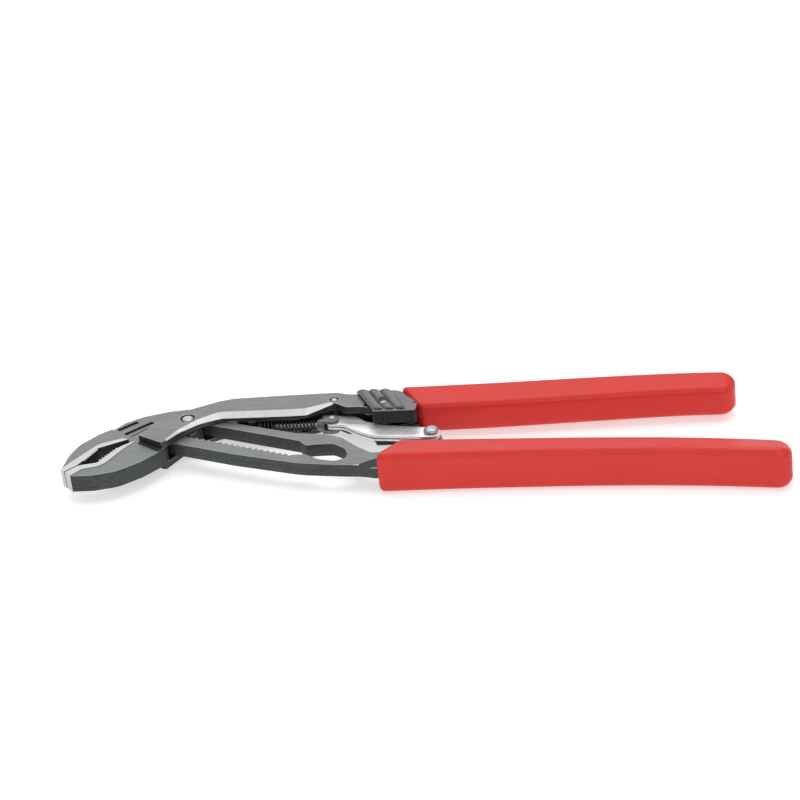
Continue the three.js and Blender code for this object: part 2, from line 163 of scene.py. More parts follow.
class Finish:
    """A procedural material: every node comes from node(), and shader() closes it."""

    def __init__(self, name):
        self.material = bpy.data.materials.new(name)
        self.material.use_nodes = True
        self.tree = self.material.node_tree
        self.tree.nodes.clear()

    def node(self, kind, settings=None, sockets=None, out=0):
        made = self.tree.nodes.new(kind)
        for key, value in (settings or {}).items():
            setattr(made, key, value)
        for key, value in (sockets or {}).items():
            if isinstance(value, Value):
                self.tree.links.new(value.socket, made.inputs[key])
            else:
                made.inputs[key].default_value = value
        return Value(self, made.outputs[out])

    def place(self, along=(1, 1, 1)):
        """The point on the piece in millimetres, stretched along each axis."""
        point = self.node("ShaderNodeTexCoord", out="Object")
        size = tuple(MM_PER_M * a for a in along)
        return self.node(
            "ShaderNodeVectorMath", {"operation": "MULTIPLY"}, {0: point, 1: size}
        )

    def noise(self, scale, along=(1, 1, 1), detail=3.0):
        return self.node(
            "ShaderNodeTexNoise",
            {"normalize": True},
            {"Vector": self.place(along), "Scale": scale, "Detail": detail},
        )

    def between(self, value, low, high):
        """0 below low, 1 above high, smooth in between."""
        return self.node(
            "ShaderNodeMapRange",
            {"interpolation_type": "SMOOTHSTEP"},
            {"Value": value, "From Min": low, "From Max": high},
        )

    def upness(self, low=0.55, high=0.9):
        """1 on flat faces that look up or down, 0 on side walls."""
        facing = self.node("ShaderNodeTexCoord", out="Normal")
        z = self.node("ShaderNodeSeparateXYZ", sockets={0: facing}, out="Z")
        z = self.node("ShaderNodeMath", {"operation": "ABSOLUTE"}, {0: z})
        return self.between(z, low, high)

    def mix(self, amount, first, second):
        made = self.tree.nodes.new("ShaderNodeMix")
        made.data_type = "RGBA"
        ends = (made.inputs[i] for i in MIX_INPUTS)
        for socket, value in zip(ends, (amount, first, second)):
            if isinstance(value, Value):
                self.tree.links.new(value.socket, socket)
            elif isinstance(value, tuple):
                socket.default_value = (*value, 1)
            else:
                socket.default_value = value
        return Value(self, made.outputs[MIX_COLOUR_OUT])

    def bump(self, height, strength, distance):
        return self.node(
            "ShaderNodeBump",
            sockets={"Strength": strength, "Distance": distance, "Height": height},
        )

    def shader(self, **sockets):
        named = {key.replace("_", " "): value for key, value in sockets.items()}
        for key, value in named.items():
            if isinstance(value, tuple):
                named[key] = (*value, 1)
        surface = self.node("ShaderNodeBsdfPrincipled", sockets=named)
        out = self.tree.nodes.new("ShaderNodeOutputMaterial")
        self.tree.links.new(surface.socket, out.inputs["Surface"])
        return self.material


table = Finish("pale_table")
speck = table.noise(0.05)
table_finish = table.shader(
    Base_Color=table.mix(speck, (0.66, 0.66, 0.66), (0.68, 0.68, 0.68)),
    Emission_Color=(1.0, 1.0, 1.0),
    Emission_Strength=0.48,
    Roughness=0.8,
    Specular_IOR_Level=0.1,
)
bm = bmesh.new()
bmesh.ops.create_grid(bm, x_segments=8, y_segments=8, size=4)
floor_mesh = bpy.data.meshes.new("floor")
bm.to_mesh(floor_mesh)
bm.free()
floor_mesh.materials.append(table_finish)
floor = bpy.data.objects.new("floor", floor_mesh)
floor.location = (0, 0, cad_box[0].z - 0.0001)
bpy.context.scene.collection.objects.link(floor)


# ---- outer lever -------------------------------------------------------------------------------
# One steel drop forging: lower jaw, box with two cheeks, spring channel and upper arm. It is
# phosphated satin grey, its gripping edges and the cheeks' near rims ground bright.


ARC_STEPS = 6


def rounded(points):
    """A closed outline, each corner [x, y, radius] turned into an arc; it runs anticlockwise."""
    out = []
    for i, point in enumerate(points):
        corner = Vector(point[:2])
        radius = point[2] if len(point) > 2 else 0
        if not radius:
            out.append(corner)
            continue
        before = Vector(points[i - 1][:2]) - corner
        after = Vector(points[(i + 1) % len(points)][:2]) - corner
        half = before.angle(after) / 2
        reach = min(radius / math.tan(half), 0.48 * before.length, 0.48 * after.length)
        fitted = reach * math.tan(half)
        a = before.normalized()
        b = after.normalized()
        middle = corner + (a + b).normalized() * (fitted / math.sin(half))
        start = corner + a * reach - middle
        end = corner + b * reach - middle
        sweep = start.angle(end)
        if start.cross(end) < 0:
            sweep = -sweep
        for k in range(ARC_STEPS + 1):
            angle = sweep * k / ARC_STEPS
            c, s = math.cos(angle), math.sin(angle)
            spoke = Vector((start.x * c - start.y * s, start.x * s + start.y * c))
            out.append(middle + spoke)
    area = sum(out[i - 1].cross(out[i]) for i in range(len(out)))
    return out if area > 0 else out[::-1]


def moved_in(ring, amounts):
    """The ring with each corner moved into the metal by its own amount."""
    out = []
    for i, point in enumerate(ring):
        a = (point - ring[i - 1]).normalized()
        b = (ring[(i + 1) % len(ring)] - point).normalized()
        inward = Vector((-a.y - b.y, a.x + b.x))
        if inward.length < 1e-6:
            inward = Vector((-a.y, a.x))
        inward.normalize()
        share = max(inward.dot(Vector((-a.y, a.x))), 0.5)
        out.append(point + inward * (amounts[i] / share))
    return out


WELD = 1e-7  # metres; corners nearer than this are one
EDGE_UP = ((1.0, 0.0), (0.3, 0.3), (0.0, 1.0))  # softened low edge: share inset, share risen
EDGE_DOWN = ((0.0, 0.0), (0.3, 0.7), (1.0, 1.0))  # the high edge, from the wall to the top
WALL_LAYER = 2  # the layer between the two softened edges


class Forge:
    """Gathers closed bodies into one mesh, in millimetres in the joint frame."""

    def __init__(self, name, finishes):
        self.name = name
        self.bm = bmesh.new()
        self.finishes = finishes

    def point(self, x, y, z):
        return self.bm.verts.new(at(x, y, z))

    def face(self, corners, finish):
        made = self.bm.faces.new(corners)
        made.material_index = finish
        return made

    def walls(self, lower, upper, finish):
        for i in range(len(lower)):
            quad = (lower[i - 1], lower[i], upper[i], upper[i - 1])
            self.face(quad, finish[i] if isinstance(finish, list) else finish)

    def plate(
        self,
        outline,
        low,
        high,
        edge=0.15,
        holes=(),
        chamfer=None,
        top=0,
        wall=0,
        rim=0,
        base=0,
        edge_finish=None,
    ):
        """A flat body with softened edges. chamfer(point) gives (width, drop) where the outline's
        top rim is cut back, or None. rim is the finish of that cut, base that of the underside and
        worn that of the softened edges."""
        rings = [outline] + [hole[::-1] for hole in holes]
        lows, highs = [], []
        for ring in rings:
            cut_here = chamfer if ring is outline else None
            cuts = [(cut_here(p) if cut_here else None) for p in ring]
            # The softened edges may take their own finish; the lighter one paints a highlight along
            # them.
            soft = wall if edge_finish is None else edge_finish
            cut_walls = [
                rim if cuts[i] and cuts[i - 1] else soft for i in range(len(ring))
            ]
            layers = []
            for share, rise in EDGE_UP:
                inset = moved_in(ring, [edge * share] * len(ring))
                layers.append([self.point(p.x, p.y, low + edge * rise) for p in inset])
            for share, rise in EDGE_DOWN:
                widths = [(c[0] if c else edge) * (rise if c else share) for c in cuts]
                drops = [(c[1] if c else edge) * (1 - rise) for c in cuts]
                inset = moved_in(ring, widths)
                layers.append(
                    [self.point(p.x, p.y, high - d) for p, d in zip(inset, drops)]
                )
            for k in range(len(layers) - 1):
                low_use = wall if k == WALL_LAYER else soft
                use = low_use if k <= WALL_LAYER else cut_walls
                self.walls(layers[k], layers[k + 1], use)
            lows.append(layers[0])
            highs.append(layers[-1])
        for caps, flip, cap_finish in ((lows, True, base), (highs, False, top)):
            flat = [v for ring in caps for v in ring]
            loops = [[v.co for v in ring] for ring in caps]
            for tri in tessellate_polygon(loops):
                corners = [flat[i] for i in tri]
                normal = (corners[1].co - corners[0].co).cross(corners[2].co - corners[0].co)
                if (normal.z < 0) != flip:
                    corners.reverse()
                self.face(corners, cap_finish)

    def turned(self, centre, profile, axis="z", sides=48, finish=0):
        """A round body. profile is [radius, height]; it starts and ends on the axis."""
        rings = []
        for radius, height in profile:
            if radius < 1e-6:
                angles = [0]
            else:
                angles = [2 * math.pi * i / sides for i in range(sides)]
            ring = []
            for angle in angles:
                u, v = radius * math.cos(angle), radius * math.sin(angle)
                if axis == "z":
                    ring.append(self.point(centre[0] + u, centre[1] + v, height))
                else:
                    ring.append(self.point(height, centre[1] + u, centre[2] + v))
            rings.append(ring)
        for k in range(len(rings) - 1):
            a, b = rings[k], rings[k + 1]
            if len(a) == 1:
                for i in range(len(b)):
                    self.face((a[0], b[i], b[i - 1]), finish)
            elif len(b) == 1:
                for i in range(len(a)):
                    self.face((a[i - 1], a[i], b[0]), finish)
            else:
                self.walls(a, b, finish)

    def finish(self, sharp=32, recolour=None):
        """Closes the mesh and makes the object. recolour(face centre in mm, normal) gives a new
        finish for a face, or None to leave it."""
        bmesh.ops.remove_doubles(self.bm, verts=self.bm.verts, dist=WELD)
        bmesh.ops.recalc_face_normals(self.bm, faces=self.bm.faces)
        if recolour:
            for f in self.bm.faces:
                centre = (f.calc_center_median() - JOINT) / MM
                use = recolour(centre, f.normal)
                if use is not None:
                    f.material_index = use
        mesh = bpy.data.meshes.new(self.name)
        self.bm.to_mesh(mesh)
        self.bm.free()
        for finish in self.finishes:
            mesh.materials.append(finish)
        mesh.shade_smooth()
        mesh.set_sharp_from_angle(angle=math.radians(sharp))
        made = bpy.data.objects.new(self.name, mesh)
        bpy.context.scene.collection.objects.link(made)
        even = made.modifiers.new("even_shading", "WEIGHTED_NORMAL")
        even.keep_sharp = True
        return made


# Faces looking up or down take the lighter flat colour and side walls the darker side colour:
# painted light on the tops and painted shade on the walls, over random grain and brushed tone.
def forged_finish(name, flat, side, streak):
    f = Finish(name)
    up = f.upness()
    grain = f.noise(1.3, detail=5.0)
    fine = f.noise(6.0, detail=2.0)
    brushed = f.noise(1.0, along=streak, detail=4.0)
    patch = f.noise(0.09, detail=2.0)
    tone = f.between(brushed * 0.55 + grain * 0.25 + patch * 0.2, 0.36, 0.64)
    light = f.mix(tone, tuple(c * 0.82 for c in flat), tuple(c * 1.15 for c in flat))
    dark = f.mix(tone, tuple(c * 0.75 for c in side), tuple(c * 1.3 for c in side))
    return f.shader(
        Base_Color=f.mix(up, dark, light),
        Metallic=0.55,
        Roughness=f.between(brushed * 0.6 + fine * 0.4, 0.0, 1.0) * 0.22 + 0.36 + up * -0.04,
        Normal=f.bump(grain * 0.5 + fine * 0.5 + brushed * 0.5, 0.35, 0.00006),
    )


# The flat grey carries painted light for the tops, the side grey painted shade for the walls.
PAINTED_LIT_FLAT_GREY = (0.178, 0.19, 0.181)
PAINTED_SHADED_SIDE_GREY = (0.045, 0.052, 0.05)
forged = forged_finish("satin_forged_steel", PAINTED_LIT_FLAT_GREY, PAINTED_SHADED_SIDE_GREY, (0.12, 1.6, 1.2))
# A near-black copy of the forging is painted shade: it colours faces that lie in shade inside and
# between the parts, such as the cheeks' inner faces, the post, web, spring stop, channel lips,
# ledge and the ramp at the sleeve.
PAINTED_SHADE_GREY = (0.02, 0.023, 0.022)
painted_shade_steel = forged_finish("painted_shade_forged_steel", PAINTED_SHADE_GREY, PAINTED_SHADE_GREY, (0.3, 0.8, 0.8))


def ground_finish(name, tint, rough, streak):
    f = Finish(name)
    lines = f.noise(1.6, along=streak, detail=5.0)
    stain = f.noise(0.35, detail=3.0)
    return f.shader(
        Base_Color=f.mix(
            f.between(lines * 0.6 + stain * 0.4, 0.3, 0.7),
            tuple(c * 0.84 for c in tint),
            tint,
        ),
        Metallic=0.75,
        Roughness=f.between(lines, 0.2, 0.8) * 0.16 + rough,
        Normal=f.bump(lines, 0.3, 0.00003),
    )


GROUND_BRIGHT = (0.54, 0.55, 0.545)
ground = ground_finish("ground_edge_steel", GROUND_BRIGHT, 0.36, (0.5, 2.4, 0.4))

# A lighter copy of the forging paints a highlight along the softened edges of the cheeks, jaws and
# lever bar.
PAINTED_EDGE_HIGHLIGHT_GREY = (0.34, 0.35, 0.345)
painted_edge_highlight = forged_finish("worn_edge_steel", PAINTED_EDGE_HIGHLIGHT_GREY, (0.13, 0.14, 0.135), (0.6, 0.6, 0.6))

CHEEK_OUT = 5.6
CHEEK_IN = 2.8
JAW_HALF = 3.3
LEVER_HALF = 2.4
STRIP_STAND = 0.14


def circle(centre, radius, sides=40):
    x, y = centre
    turns = [2 * math.pi * i / sides for i in range(sides)]
    return [Vector((x + radius * math.cos(t), y + radius * math.sin(t))) for t in turns]


def teeth(start, end, count, depth):
    """Saw teeth from one point to the other, cut to the left by the depth."""
    a, b = Vector(start), Vector(end)
    step = (b - a) / count
    side = Vector((-step.y, step.x)).normalized() * depth
    out = []
    for i in range(count):
        out += [tuple(a + step * i), tuple(a + step * (i + 0.5) + side)]
    return out + [tuple(b)]


CROSS_PIN = (50.9, 9.8)
LOCK_PIN = (69.2, 4.7)
cheek_outline = rounded(
    [
        (-15.7, -10.6, 0.5),
        (-12.3, -5),
        (-8.4, 0.4, 6),
        (-2.1, 6.1, 8),
        (9.6, 11.4, 8),
        (14.5, 12.9, 10),
        (31, 13.8),
        (51, 14.6, 6),
        (56, 13, 6),
        (62, 12.8),
        (80, 13.4),
        (80, 6.5),
        (72, 3.6, 4),
        (55.8, 4, 2),
        (51.2, 7.4, 2),
        (42, 1.7, 3),
        (36, 1.4),
        (11.3, 1.3, 6),
        (4.8, -2.6, 8),
        (-1.3, -9, 8),
        (-4.6, -14.6, 1),
        (-6.3, -16.4, 1.4),
    ]
)


def near_rim(p):
    """The cheek's near rim is ground to a wide bright chamfer that fades out at both ends."""
    if p.x < -5 or p.x > 50.9 or p.y > 8:
        return None
    if p.x > -4.8 and p.y > 7.6:
        return None
    fade = min((p.x + 9) / 20, (53 - p.x) / 8, 1)
    return 0.25 + 2.0 * fade, 0.2 + 1.35 * fade


main_hole = circle((0, 0), 2.6)
cross_hole = circle(CROSS_PIN, 1.55, 28)
lock_hole = rounded(
    [
        (LOCK_PIN[0] - 7, LOCK_PIN[1] - 1.7, 1.6),
        (LOCK_PIN[0] + 2, LOCK_PIN[1] - 1.7, 1.6),
        (LOCK_PIN[0] + 2, LOCK_PIN[1] + 1.7, 1.6),
        (LOCK_PIN[0] - 7, LOCK_PIN[1] + 1.7, 1.6),
    ]
)

body = Forge("outer_lever_forging", [forged, ground, painted_shade_steel, painted_edge_highlight])
# The cheek's inner face is painted shade and its softened edges carry the painted edge highlight.
body.plate(
    cheek_outline,
    CHEEK_IN,
    CHEEK_OUT,
    0.25,
    [main_hole, cross_hole, lock_hole],
    near_rim,
    rim=1,
    base=2,
    edge_finish=3,
)
LIP_LOW = 2.0
channel_lip = rounded(
    [(17.5, 3.4), (17.5, 1.6, 0.3), (36, 1.7, 4), (39.4, 1.9, 0.3), (39.4, 3.4)]
)
# The lip's top and underside are painted shade.
body.plate(channel_lip, LIP_LOW, CHEEK_IN + 0.3, 0.1, top=2, wall=0, base=2)
copied = bmesh.ops.duplicate(body.bm, geom=body.bm.verts[:] + body.bm.edges[:] + body.bm.faces[:])
for v in (g for g in copied["geom"] if isinstance(g, bmesh.types.BMVert)):
    v.co.z = 2 * JOINT.z - v.co.z

post = rounded(
    [(-15.6, -10.6), (-14.6, -10.3), (-10.4, -9.2), (-4.9, -14.5), (-6.4, -16.2, 1.2)]
)
web = rounded(
    [
        (15, 12.7),
        (14.6, 9.8, 2),
        (52, 10.6),
        (80, 10.2),
        (80, 13.2),
        (56, 12.8, 6),
        (51, 14.4, 6),
        (31, 13.6),
    ]
)
# The post, the web and the spring stop are painted shade all over, as they sit in shade inside the
# box and channel.
body.plate(post, -CHEEK_IN - 1, CHEEK_IN + 1, 0.05, top=2, wall=2, base=2)
body.plate(web, -CHEEK_IN - 1, CHEEK_IN + 1, 0.05, top=2, wall=2, base=2)
spring_stop = rounded([(21.5, 11), (21.5, -0.6), (24, -0.6), (24, 11)])
body.plate(spring_stop, -CHEEK_IN - 0.5, CHEEK_IN + 0.5, 0.1, top=2, wall=2, base=2)
arm = rounded(
    [
        (76, 7.2),
        (76, 12.8),
        (88, 13),
        (130, 14.2),
        (172, 15.8),
        (183, 15.6, 3),
        (183, 10.2, 3),
        (172, 10),
        (130, 8.2),
        (88, 6),
        (80, 6),
    ]
)
body.plate(arm, -4.2, 4.2, 0.6)

lower_teeth = teeth((-22, -15.2), (-26.9, -24), 7, -0.95)
jaw_back = rounded(
    [
        (-37.4, -30.9),
        (-35.2, -33.2, 0.4),
        (-28, -33.2, 8),
        (-19.6, -31, 12),
        (-12.2, -25.1, 8),
        (-7.4, -19.4),
        (-5.4, -15.6),
        (-10.4, -9.2),
        (-14.6, -10.6),
        (-17.2, -11.2),
        (-20.6, -15.6),
        (-25.4, -24.6),
        (-27.6, -26.0),
        (-33.4, -27.6),
    ]
)
body.plate(jaw_back, -JAW_HALF + STRIP_STAND, JAW_HALF - STRIP_STAND, 0.16, edge_finish=3)
lower_strip = rounded(
    [
        (-37.7, -30.6),
        (-35.2, -33.2),
        (-32, -28.9),
        (-26.9, -27.5, 1.2),
        (-24.6, -25.3, 1.2),
        (-20.3, -16.5, 2),
        (-16.8, -11.1),
        (-17.7, -11),
        (-21.4, -14.1),
        *lower_teeth,
        (-27.6, -24.8),
        (-33.9, -26.4),
    ]
)
body.plate(lower_strip, -JAW_HALF, JAW_HALF, 0.06, top=1, base=1)
# The ledge is painted shade all over: a dark strip for the shade under the jaw's step.
ledge = rounded([(-15.6, -12.4), (-14.2, -11), (-6.2, -17.0), (-7.2, -18.4, 0.4)])
body.plate(ledge, -JAW_HALF - 0.3, JAW_HALF + 0.3, 0.12, top=2, wall=2, base=2)


def bright_tip(centre, normal):
    """The walls at the very tips of both jaws are ground bright."""
    if abs(normal.z) < 0.5 and centre.x < -35.2 and normal.x + normal.y < -1.2:
        return 1
    return None


outer = body.finish(recolour=bright_tip)
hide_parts("outer_lever")
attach(outer, "outer")

# ---- inner lever -------------------------------------------------------------------------------
# The second forging passes through the box: upper jaw, neck with three cast grooves, a bar with
# the toothed slot and keyhole, and the lower arm. Its ear under the link carries the rivet.

SLOT_ANGLE = math.radians(-20.9)
SLOT_SMOOTH = 2.7
SLOT_TEETH = -6.1
LEVER_FAR = 6.5
LEVER_NEAR = -12.2
LINK_END = (87, -8)


def in_slot(t, n, radius=0):
    c, s = math.cos(SLOT_ANGLE), math.sin(SLOT_ANGLE)
    return (c * t - s * n, s * t + c * n, radius)


bar = rounded(
    [
        (-29, -12),
        (-20, -9.7),
        (-14.4, -9.8, 2),
        (-9.2, -8.2, 2),
        in_slot(0.1, LEVER_NEAR, 4),
        in_slot(26, LEVER_NEAR, 30),
        (44.2, -28.2, 40),
        (58.3, -29.9, 20),
        (60.6, -30.1),
        (62.6, -30.2),
        (64.8, -30.4),
        (67.2, -30.9),
        (69.6, -31.6),
        (72.5, -32),
        (92, -29.8, 30),
        (146, -31.4, 30),
        (180, -33.4, 30),
        (203, -36, 3),
        (204, -30.5, 3),
        (180, -26.6, 30),
        (146, -24.4, 30),
        (92, -22.2, 20),
        (76, -22, 6),
        (68, -22.4, 4),
        (61.8, -17.4, 4),
        (56.4, -11.6, 5),
        (50, -9, 8),
        in_slot(40, LEVER_FAR + 0.6, 12),
        in_slot(14, LEVER_FAR, 10),
        (2.5, 8.6, 3),
        (-1.5, 11.8, 4),
        (-8.9, 10.7, 8),
        (-18, 7.4, 6),
        (-23.6, 3.6, 5),
        (-28, -2.6),
    ]
)
slot_hole = rounded(
    [
        in_slot(-7.5, SLOT_SMOOTH, 2),
        in_slot(43.5, SLOT_SMOOTH, 2),
        in_slot(47.2, 0.6, 1.5),
        in_slot(51, 2.6, 1.5),
        in_slot(56, 4.6, 3),
        in_slot(61.3, 3.0, 3),
        in_slot(65.5, -1.6, 3),
        in_slot(61.8, -5.5, 3),
        in_slot(56, -6, 3),
        in_slot(50, -4.6, 2),
        *teeth(in_slot(46, SLOT_TEETH)[:2], in_slot(-2, SLOT_TEETH)[:2], 20, 1.1),
        in_slot(-7.5, SLOT_TEETH + 1, 2),
    ]
)


GROOVE_CORNER = 0.2


def groove(start, end, width):
    a, b = Vector(start), Vector(end)
    side = (b - a).orthogonal().normalized() * width / 2
    ring = (a + side, b + side, b - side, a - side)
    return rounded([(*corner, GROOVE_CORNER) for corner in ring])


def sleeve_ramp(p):
    """Where the bar runs into the sleeve its near top rim is cut to a slope, painted dark as shade.
    """
    if p.y > -29.5 or not 64 < p.x < 75:
        return None
    share = min((p.x - 64.2) / 5.4, 1)
    return 0.14 + 5.6 * share, 0.14 + 0.95 * share


grooves = [
    groove((-25.2, -1.6), (-19.2, 4.0), 1.9),
    groove((-22.0, -4.6), (-13.6, 3.4), 1.9),
    groove((-19.7, -6.4), (-9.9, 5.0), 0.6),
]
GROOVE_FLOOR = 1.5

lever = Forge("inner_lever_forging", [forged, ground, painted_shade_steel, painted_edge_highlight])
core = moved_in(bar, [0.02] * len(bar))
slot_core = moved_in(slot_hole[::-1], [0.02] * len(slot_hole))[::-1]
lever.plate(core, -GROOVE_FLOOR, GROOVE_FLOOR, 0.02, [slot_core])
lever.plate(
    bar, GROOVE_FLOOR - 0.3, LEVER_HALF, 0.14, [slot_hole, *grooves], sleeve_ramp, rim=2, edge_finish=3
)
lever.plate(bar, -LEVER_HALF, -GROOVE_FLOOR + 0.3, 0.14, [slot_hole, *grooves], edge_finish=3)

jaw_plate = rounded(
    [
        (-38.6, -28.6),
        (-34.4, -22),
        (-30, -14),
        (-28.6, -12.6),
        (-21.2, -9.3),
        (-20.1, -9.5),
        (-27, -1.6, 1),
        (-31, -4.9, 6),
        (-36.6, -12.1, 8),
        (-38.9, -19.5, 8),
        (-39.5, -29.0),
    ]
)
lever.plate(jaw_plate, -JAW_HALF + STRIP_STAND, JAW_HALF - STRIP_STAND, 0.16, edge_finish=3)
upper_strip = rounded(
    [
        (-38, -30.3),
        (-34.2, -26.1),
        (-33.4, -24.3),
        *teeth((-33, -23.4), (-29.6, -15.8), 7, -0.95),
        (-29.2, -15),
        (-19.6, -9.5),
        (-22.0, -8.6),
        (-29.2, -11.9, 0.8),
        (-30.7, -13.5, 0.8),
        (-39.3, -27.6),
        (-39.5, -29.1),
    ]
)
lever.plate(upper_strip, -JAW_HALF, JAW_HALF, 0.06, top=1, base=1)
ear = rounded(
    [
        (82.2, -23.5),
        (83.4, -8, 3),
        (84.5, -4.6, 2.4),
        (89.5, -4.6, 2.4),
        (90.6, -8, 3),
        (94, -23.5),
    ]
)
lever.plate(ear, -LEVER_HALF + 0.02, -1.05, 0.12, [circle(LINK_END, 1.5, 28)])
inner = lever.finish(recolour=bright_tip)
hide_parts("inner_lever")
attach(inner, "inner")

# ---- pins --------------------------------------------------------------------------------------
# The main pin, the small cross pin and the slide's and link's pins are turned from bright steel
# with a fine chamfer. A dark core makes the thin shadow line round the two pins in the cheeks.

turned_steel = ground_finish("turned_pin_steel", (0.44, 0.44, 0.435), 0.26, (1.2, 1.2, 0.3))
pit = Finish("pin_seat_shadow")
seat_dark = pit.shader(
    Base_Color=pit.mix(pit.noise(0.8), (0.012, 0.013, 0.013), (0.03, 0.032, 0.03)),
    Metallic=0.3,
    Roughness=0.6,
)


def pin(name, node, body_name, centre, radius, half, dark_ring=0.0):
    made = Forge(name, [turned_steel, seat_dark])
    chamfer = 0.22 * radius
    made.turned(
        centre,
        [
            (0, -half),
            (radius - chamfer, -half),
            (radius - 0.05, -half + chamfer * 0.7),
            (radius, -half + chamfer),
            (radius, half - chamfer),
            (radius - 0.05, half - chamfer * 0.7),
            (radius - chamfer, half - 0.03),
            (radius * 0.35, half),
            (0, half - 0.02),
        ],
    )
    if dark_ring:
        made.turned(
            centre,
            [
                (0, -half + 0.5),
                (dark_ring, -half + 0.5),
                (dark_ring, half - 0.5),
                (0, half - 0.5),
            ],
            finish=1,
        )
    shown = made.finish()
    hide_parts(node)
    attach(shown, body_name)


pin("main_pivot_pin", "main_pin", "outer", (0, 0), 2.0, CHEEK_OUT + 0.02, 2.62)
pin("channel_cross_pin", "cross_pin", "outer", CROSS_PIN, 1.15, CHEEK_OUT - 0.06, 1.57)
pin("slide_lock_pin", "lock_pin", "slide", LOCK_PIN, 1.15, 6.8)
pin("link_hinge_pin", "link_pin", "seat", (51, 1.6), 1.15, 3.1)

# ---- pawl --------------------------------------------------------------------------------------
# The toothed pawl is a small machined saddle under the main pin, open at the top, with teeth
# that bite into the slot's teeth. It is phosphated like the levers.

PAWL_HALF_LENGTH = 5
PAWL_TIPS = SLOT_TEETH + 1.15
pawl = Forge("toothed_pawl", [forged])
pawl_shape = rounded(
    [
        in_slot(-PAWL_HALF_LENGTH, 1.4, 0.6),
        *teeth(
            in_slot(-PAWL_HALF_LENGTH, PAWL_TIPS)[:2],
            in_slot(PAWL_HALF_LENGTH, PAWL_TIPS)[:2],
            4,
            -0.8,
        ),
        in_slot(PAWL_HALF_LENGTH, 1.4, 0.6),
        in_slot(2.25, 1.4, 0.3),
        in_slot(2.25, -0.6, 1.2),
        in_slot(1.4, -2.2, 1),
        in_slot(-1.4, -2.2, 1),
        in_slot(-2.25, -0.6, 1.2),
        in_slot(-2.25, 1.4, 0.3),
    ]
)
pawl.plate(pawl_shape, -2.2, 2.2, 0.15)
pawl_piece = pawl.finish()
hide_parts("pawl")
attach(pawl_piece, "pawl")

# ---- spring, stem and seat ---------------------------------------------------------------------
# A compression spring of oiled black wire lies in the channel on a slim steel stem. It pushes a
# turned and milled seat, whose cone centres the last coil and whose fork holds the link.

SPRING_Y = 1.6
oiled = Finish("oiled_spring_wire")
drawn = oiled.noise(0.8, detail=4.0)
wire_finish = oiled.shader(
    Base_Color=oiled.mix(drawn, (0.016, 0.017, 0.017), (0.06, 0.062, 0.06)),
    Metallic=0.6,
    Roughness=oiled.between(drawn, 0.2, 0.8) * 0.2 + 0.34,
    Normal=oiled.bump(drawn, 0.2, 0.00002),
)


def coil(name, left, right, radius, wire, turns, steps=26, sides=8):
    """A closed-end compression spring: the end coils lie close, the working coils stand apart."""
    made = Forge(name, [wire_finish])
    count = int(turns * steps)
    rings = []
    for k in range(count + 1):
        turn = turns * k / count
        if turn < 1:
            x = left + wire + 2 * wire * turn
        elif turn > turns - 1:
            x = right - wire - 2 * wire * (turns - turn)
        else:
            run = (turn - 1) / (turns - 2)
            x = left + 3 * wire + (right - left - 6 * wire) * run
        angle = 2 * math.pi * turn
        out = Vector((0, math.cos(angle), math.sin(angle)))
        ring = []
        for s in range(sides):
            a = 2 * math.pi * s / sides
            p = out * (radius + wire * math.cos(a)) + Vector((x + wire * math.sin(a), 0, 0))
            ring.append(made.point(p.x, SPRING_Y + p.y, p.z))
        rings.append(ring)
    for k in range(len(rings) - 1):
        made.walls(rings[k], rings[k + 1], 0)
    made.face(rings[0][::-1], 0)
    made.face(rings[-1], 0)
    return made.finish(sharp=60)


SPRING_LEFT, SPRING_RIGHT, SEAT_TRAVEL = 24.3, 45.2, 5
spring = coil("seat_spring", SPRING_LEFT, SPRING_RIGHT, 1.5, 0.32, 17)
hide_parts("compression_spring")
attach(spring, "outer")
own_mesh(spring)

stem = Forge("spring_guide_stem", [turned_steel])
stem.turned(
    (0, SPRING_Y, 0), [(0, 30), (0.55, 30), (0.85, 30.5), (0.85, 47), (0, 47)], axis="x", sides=24
)
stem_piece = stem.finish()
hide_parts("spring_stem")
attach(stem_piece, "seat")

grey = Finish("milled_seat_steel")
milled = grey.noise(1.0, along=(2.5, 0.6, 0.6), detail=4.0)
milled_finish = grey.shader(
    Base_Color=grey.mix(milled, (0.07, 0.075, 0.073), (0.3, 0.31, 0.3)),
    Metallic=0.8,
    Roughness=milled * 0.2 + 0.28,
    Normal=grey.bump(milled, 0.25, 0.00003),
)
seat = Forge("spring_seat_fork", [milled_finish])
seat.turned(
    (0, SPRING_Y, 0),
    [(0, 45.5), (1.7, 45.5), (1.95, 45.75), (2.5, 47.6), (2.5, 48.0), (0, 48.0)],
    axis="x",
    sides=36,
)
fork = rounded(
    [
        (47.6, SPRING_Y - 2.1),
        (51, SPRING_Y - 2.3, 1.5),
        (53.2, SPRING_Y - 1.6, 1.5),
        (53.2, SPRING_Y + 1.6, 1.5),
        (51, SPRING_Y + 2.3, 1.5),
        (47.6, SPRING_Y + 2.1),
    ]
)
seat.plate(fork, 1.75, 2.6, 0.12)
seat.plate(fork, -2.6, -1.05, 0.12)
root = rounded(
    [(47.5, SPRING_Y - 2), (48.3, SPRING_Y - 2), (48.3, SPRING_Y + 2), (47.5, SPRING_Y + 2)]
)
seat.plate(root, -2.4, 2.4, 0.1)
seat_piece = seat.finish()
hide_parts("spring_seat")
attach(seat_piece, "seat")

# ---- link --------------------------------------------------------------------------------------
# Two pressed plates of zinc-plated steel lie one on the other. They hinge on the spring seat and
# are riveted to the inner lever's ear; the rivet has a domed head above and a flat tail below.

